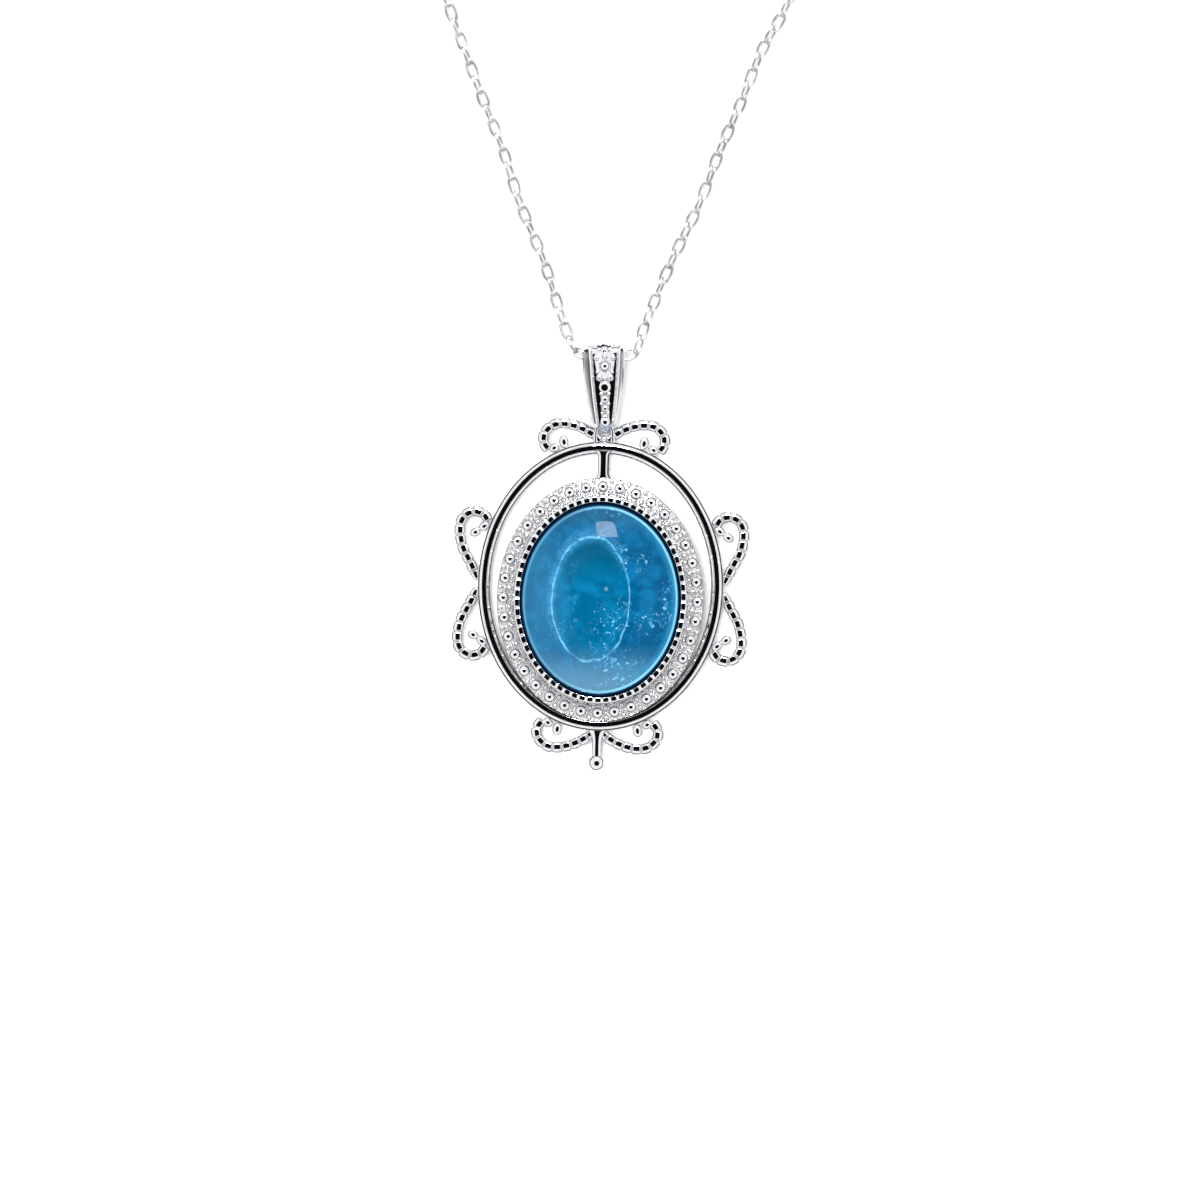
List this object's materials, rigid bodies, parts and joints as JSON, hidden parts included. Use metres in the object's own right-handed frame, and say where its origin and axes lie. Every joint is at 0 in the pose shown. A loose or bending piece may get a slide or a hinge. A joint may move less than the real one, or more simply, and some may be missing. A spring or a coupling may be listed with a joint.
{
  "type": "pendant necklace",
  "caption": "Necklace lying flat: a translucent stone in a beaded medallion hangs inside an oval scrolled ring on a hinged bail, on a fine cable chain with a sprung clasp.",
  "frame": {"origin": "on the surface the necklace lies on, under the middle of the pendant and its bail taken together", "axes": "+X to the wearer's left across the pendant, +Y from the drop towards the bail and the chain, +Z out of the front of the stone"},
  "size_m": [0.0376, 0.11, 0.0059],
  "materials": {
    "silver": "mirror polished rhodium plate",
    "chain_metal": "polished rhodium plate",
    "stone": "polished translucent blue stone",
    "spring_steel": "drawn wire"
  },
  "bodies": {
    "chain": {"chain_strand": "chain_metal", "chain_coil": "chain_metal", "chain_tail_hook_side": "chain_metal", "chain_tail_ring_side": "chain_metal", "clasp_body": "silver", "clasp_pin": "silver", "clasp_spring": "spring_steel", "clasp_ring": "chain_metal", "end_ring": "chain_metal"},
    "clasp_gate": {"clasp_lever": "silver"},
    "bail": {"bail_shell": "silver", "bail_bead_strip": "silver"},
    "pendant": {"outer_ring": "silver", "scroll_top_left": "silver", "scroll_top_right": "silver", "scroll_bottom_left": "silver", "scroll_bottom_right": "silver", "scroll_left_upper": "silver", "scroll_left_lower": "silver", "scroll_right_upper": "silver", "scroll_right_lower": "silver", "junction_bead": "silver", "hinge_loop": "silver", "drop_stem": "silver", "drop_ball": "silver", "top_bar": "silver", "medallion_plate": "silver", "bead_border": "silver", "bezel_wall": "silver", "stone_seat": "silver", "cabochon": "stone"}
  },
  "joints": [
    {"name": "bail_swing", "type": "hinge", "parent": "chain", "child": "bail", "pos_m": [0, 0.02029, 0.0014], "axis": [-1, 0, 0], "range_deg": [0, 90]},
    {"name": "pendant_swing", "type": "hinge", "parent": "bail", "child": "pendant", "pos_m": [0, 0.01309, 0.0009], "axis": [-1, 0, 0], "range_deg": [0, 45]},
    {"name": "clasp_gate_swing", "type": "hinge", "parent": "chain", "child": "clasp_gate", "pos_m": [0.00193, 0.07116, 0.0009], "axis": [0, 0, -1], "range_deg": [0, 25], "stiffness_Nm_per_rad": 0.0001, "springref_deg": -17.19}
  ]
}
